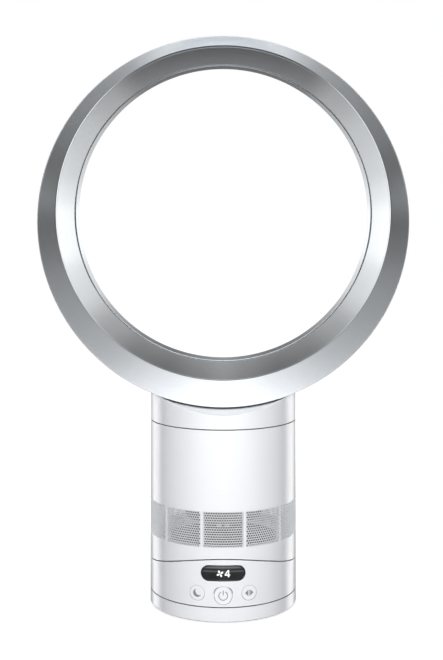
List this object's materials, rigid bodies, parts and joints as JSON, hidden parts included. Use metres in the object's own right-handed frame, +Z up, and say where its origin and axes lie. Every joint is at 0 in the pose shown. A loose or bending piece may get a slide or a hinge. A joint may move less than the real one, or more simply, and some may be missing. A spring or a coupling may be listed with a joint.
{
  "type": "bladeless fan",
  "caption": "Desk fan that blows air from a slot round an open ring, on a round body that tilts and swings on its foot, with a display and push buttons.",
  "frame": {"origin": "on the surface the fan stands on, on the axis of the round body", "axes": "+Z up; -Y to the front, the side with the display and the silver bezel; +X to the right when seen from the front"},
  "size_m": [0.356, 0.144, 0.554],
  "materials": {
    "white_shell": "smooth gloss moulding",
    "white_key": "satin gloss moulding",
    "silver_paint": "silver metallic paint, satin gloss",
    "grille_white": "perforated moulding, satin",
    "smoked_window": "smoked, polished",
    "rubber_grey": "matt",
    "zinc_steel": "zinc plated",
    "slide_plastic": "smooth, slippery",
    "black_plastic": "satin",
    "contact_metal": "polished",
    "lead_black": "smooth insulation",
    "inner_plastic": "unpolished moulding",
    "duct_grey": "unpolished moulding",
    "board_green": "lacquered board",
    "switch_black": "satin",
    "display_grey": "satin",
    "motor_steel": "plated",
    "motor_alloy": "die cast",
    "core_iron": "stacked sheet",
    "coil_copper": "enamelled wire",
    "magnet_dark": "coated",
    "foam_dark": "open-cell foam",
    "connector_white": "satin",
    "impeller_grey": "glass-filled moulding",
    "nut_brass": "turned"
  },
  "bodies": {
    "foot": {"foot_shell": "white_shell", "foot_plate": "white_shell", "foot_pads": "rubber_grey", "foot_screws": "zinc_steel", "glide_ring": "slide_plastic", "swing_gear": "slide_plastic", "gear_screws": "zinc_steel", "power_socket": "black_plastic", "socket_pin": "contact_metal", "foot_lead": "lead_black"},
    "control_base": {"control_shell": "white_shell", "turntable": "inner_plastic", "turntable_screws": "zinc_steel", "control_board": "board_green", "tact_switches": "switch_black", "display_lens": "smoked_window", "display_module": "display_grey", "remote_receiver": "black_plastic", "swing_motor": "motor_steel", "swing_motor_screws": "zinc_steel", "tilt_saddle": "inner_plastic", "saddle_screws": "zinc_steel"},
    "pinion": {"drive_pinion": "slide_plastic"},
    "power_key": {"power_button": "white_key"},
    "timer_key": {"timer_button": "white_key"},
    "swing_key": {"swing_button": "white_key"},
    "main_body": {"body_shell": "white_shell", "inlet_grille": "grille_white", "tilt_shoe": "inner_plastic", "shoe_screws": "zinc_steel", "tilt_keepers": "inner_plastic", "keeper_screws": "zinc_steel", "inlet_foam": "foam_dark", "impeller_shroud": "duct_grey", "suspension_ring": "rubber_grey", "diffuser": "duct_grey", "duct_screws": "zinc_steel", "duct_seal": "rubber_grey", "motor_damper": "rubber_grey", "motor_frame": "motor_alloy", "stator_core": "core_iron", "stator_coils": "coil_copper", "motor_bearings": "motor_steel", "motor_board": "board_green", "motor_lead": "lead_black", "lead_connector": "connector_white", "motor_cap": "duct_grey", "bayonet_collar": "inner_plastic", "neck_seal": "rubber_grey"},
    "fan": {"impeller": "impeller_grey", "motor_shaft": "motor_steel", "rotor_magnet": "magnet_dark", "impeller_nut": "nut_brass"},
    "loop": {"loop_neck": "white_shell", "loop_casing": "white_shell", "inner_casing": "silver_paint", "front_bezel": "silver_paint", "ring_screws": "zinc_steel"}
  },
  "joints": [
    {"name": "swing", "type": "hinge", "parent": "foot", "child": "control_base", "pos_m": [0, 0, 0.0154], "axis": [0, 0, 1], "range_deg": [-45, 45]},
    {"name": "pinion_spin", "type": "hinge", "parent": "control_base", "child": "pinion", "pos_m": [0, 0.035, 0.0212], "axis": [0, 0, 1], "range_deg": [-180, 180]},
    {"name": "tilt", "type": "hinge", "parent": "control_base", "child": "main_body", "pos_m": [0, 0, 0.223], "axis": [1, 0, 0], "range_deg": [-10, 10]},
    {"name": "impeller_spin", "type": "hinge", "parent": "main_body", "child": "fan", "pos_m": [0, 0, 0.12], "axis": [0, 0, 1], "continuous": true},
    {"name": "loop_twist", "type": "hinge", "parent": "main_body", "child": "loop", "pos_m": [0, 0, 0.1814], "axis": [0, 0, 1], "range_deg": [0, 20]},
    {"name": "power_press", "type": "slide", "parent": "control_base", "child": "power_key", "axis": [0, 1, 0], "range_m": [0, 0.0008], "stiffness_N_per_m": 1500},
    {"name": "timer_press", "type": "slide", "parent": "control_base", "child": "timer_key", "axis": [0, 1, 0], "range_m": [0, 0.0008], "stiffness_N_per_m": 1500},
    {"name": "swing_press", "type": "slide", "parent": "control_base", "child": "swing_key", "axis": [0, 1, 0], "range_m": [0, 0.0008], "stiffness_N_per_m": 1500}
  ],
  "couplings": [
    {"joint": "pinion_spin", "follows": "swing", "ratio": 4}
  ]
}
